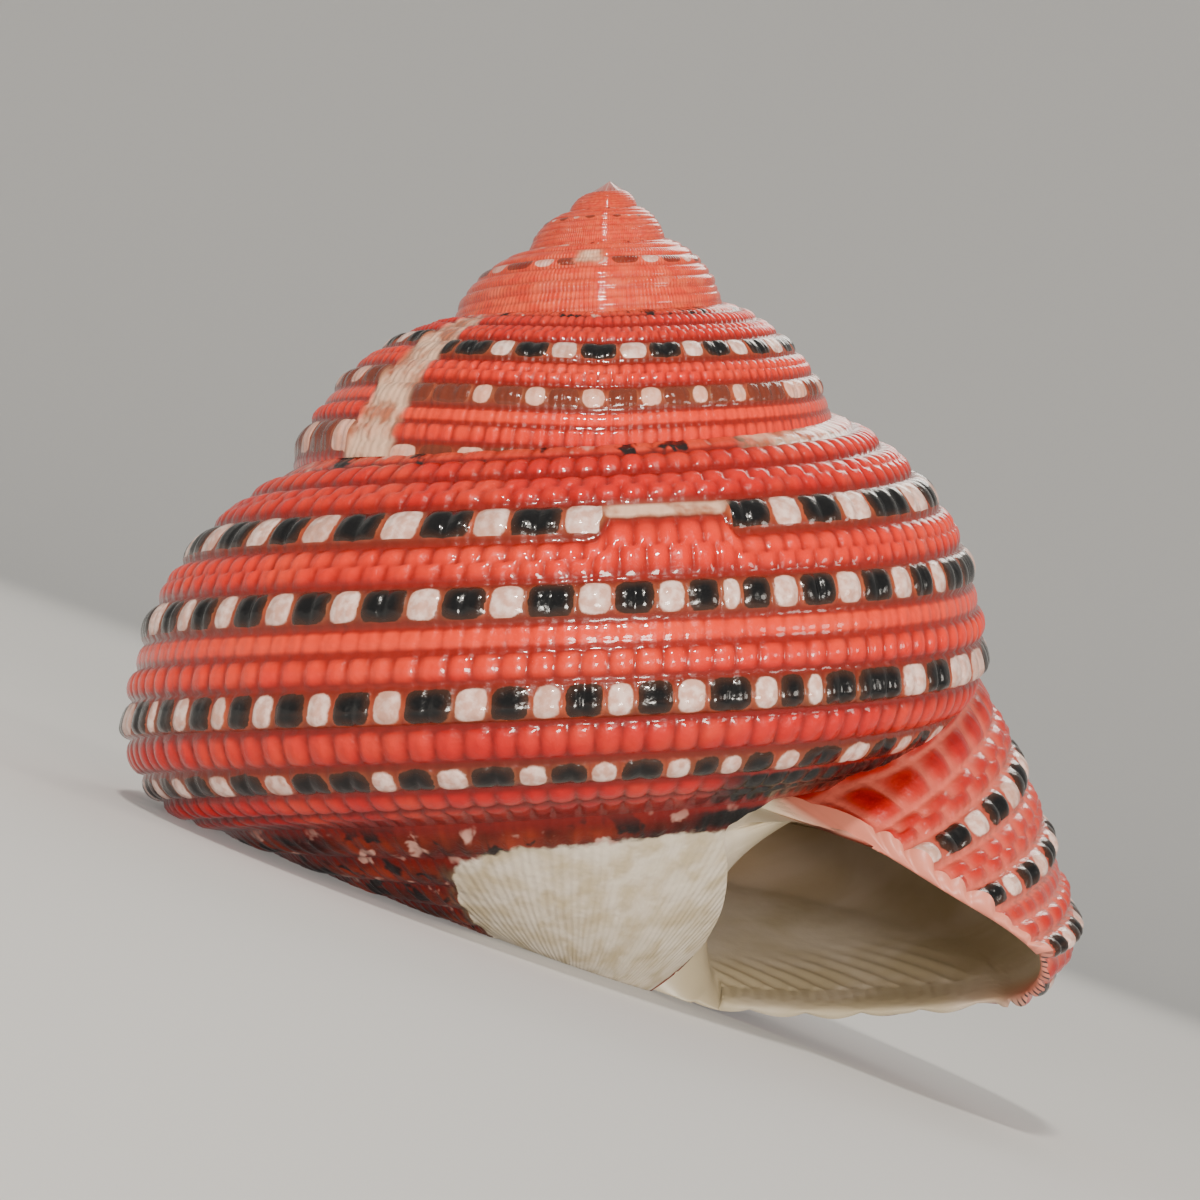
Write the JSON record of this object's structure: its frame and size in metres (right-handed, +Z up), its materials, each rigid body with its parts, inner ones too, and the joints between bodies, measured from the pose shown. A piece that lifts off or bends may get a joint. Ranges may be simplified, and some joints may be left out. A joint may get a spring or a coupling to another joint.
{
  "type": "top shell",
  "caption": "Small coiled sea-snail shell with a low cone-shaped spire, beaded spiral cords and an open, thick-lipped mouth underneath.",
  "frame": {"origin": "middle of the bounding box in X and Y, at the height of the small flat spots it rests on", "axes": "+Z up as the shell rests; the mouth opens towards -Y and down, under the right half as seen from the front; +X is to the right in that view, and the spire leans to -X"},
  "size_m": [0.0206, 0.0194, 0.0156],
  "materials": {
    "shell": "glossy natural shell, coral red with black and white beads"
  },
  "bodies": {
    "root": {"shell": "shell"}
  },
  "joints": []
}
